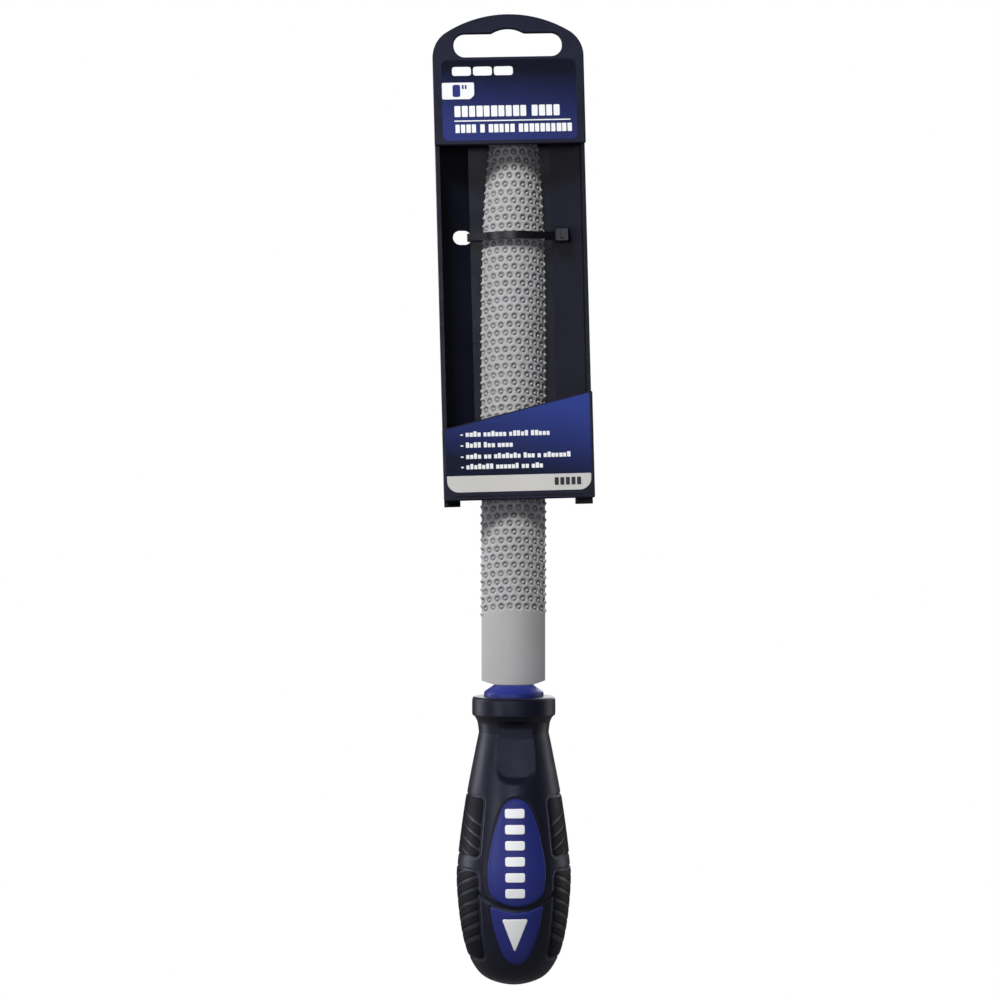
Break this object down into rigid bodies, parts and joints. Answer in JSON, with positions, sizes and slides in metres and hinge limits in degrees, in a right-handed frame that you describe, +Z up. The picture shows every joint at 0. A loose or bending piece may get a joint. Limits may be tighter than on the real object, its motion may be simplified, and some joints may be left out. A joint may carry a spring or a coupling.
{
  "type": "half-round wood rasp on shop hanger",
  "caption": "Half-round wood rasp with a moulded soft-grip handle, held by a cable tie in a plastic hanging tray with a hang slot.",
  "frame": {"origin": "the peg seat, at the top of the hang slot's middle bump and half way through the header plate", "axes": "+Z up along the rasp towards its tip, -Y out of the front of the hanger, +X to the right seen from the front"},
  "size_m": [0.0552, 0.0393, 0.3298],
  "materials": {
    "blade_steel": "matte bead-blasted steel",
    "core_blue": "satin moulded blue",
    "grip_black": "soft-touch satin black",
    "tread_black": "matte grooved black",
    "print_white": "printed white",
    "hanger_black": "moulded slate black, fine grain",
    "label_blue": "coated printed label, black to blue",
    "tie_black": "nylon, satin black"
  },
  "bodies": {
    "hanger": {"hanger_tray": "hanger_black", "header_plate": "hanger_black", "sleeve_plate": "hanger_black", "header_label": "label_blue", "sleeve_label": "label_blue", "cable_tie": "tie_black"},
    "rasp": {"blade": "blade_steel", "handle_core": "core_blue", "grip_shell": "grip_black", "tread_upper_left": "tread_black", "tread_upper_right": "tread_black", "tread_lower_left": "tread_black", "tread_lower_right": "tread_black", "grade_mark": "print_white", "pointer_mark": "print_white"}
  },
  "joints": [
    {"name": "rasp_draw", "type": "slide", "parent": "hanger", "child": "rasp", "axis": [0, 0, -1], "range_m": [0, 0.143]}
  ]
}
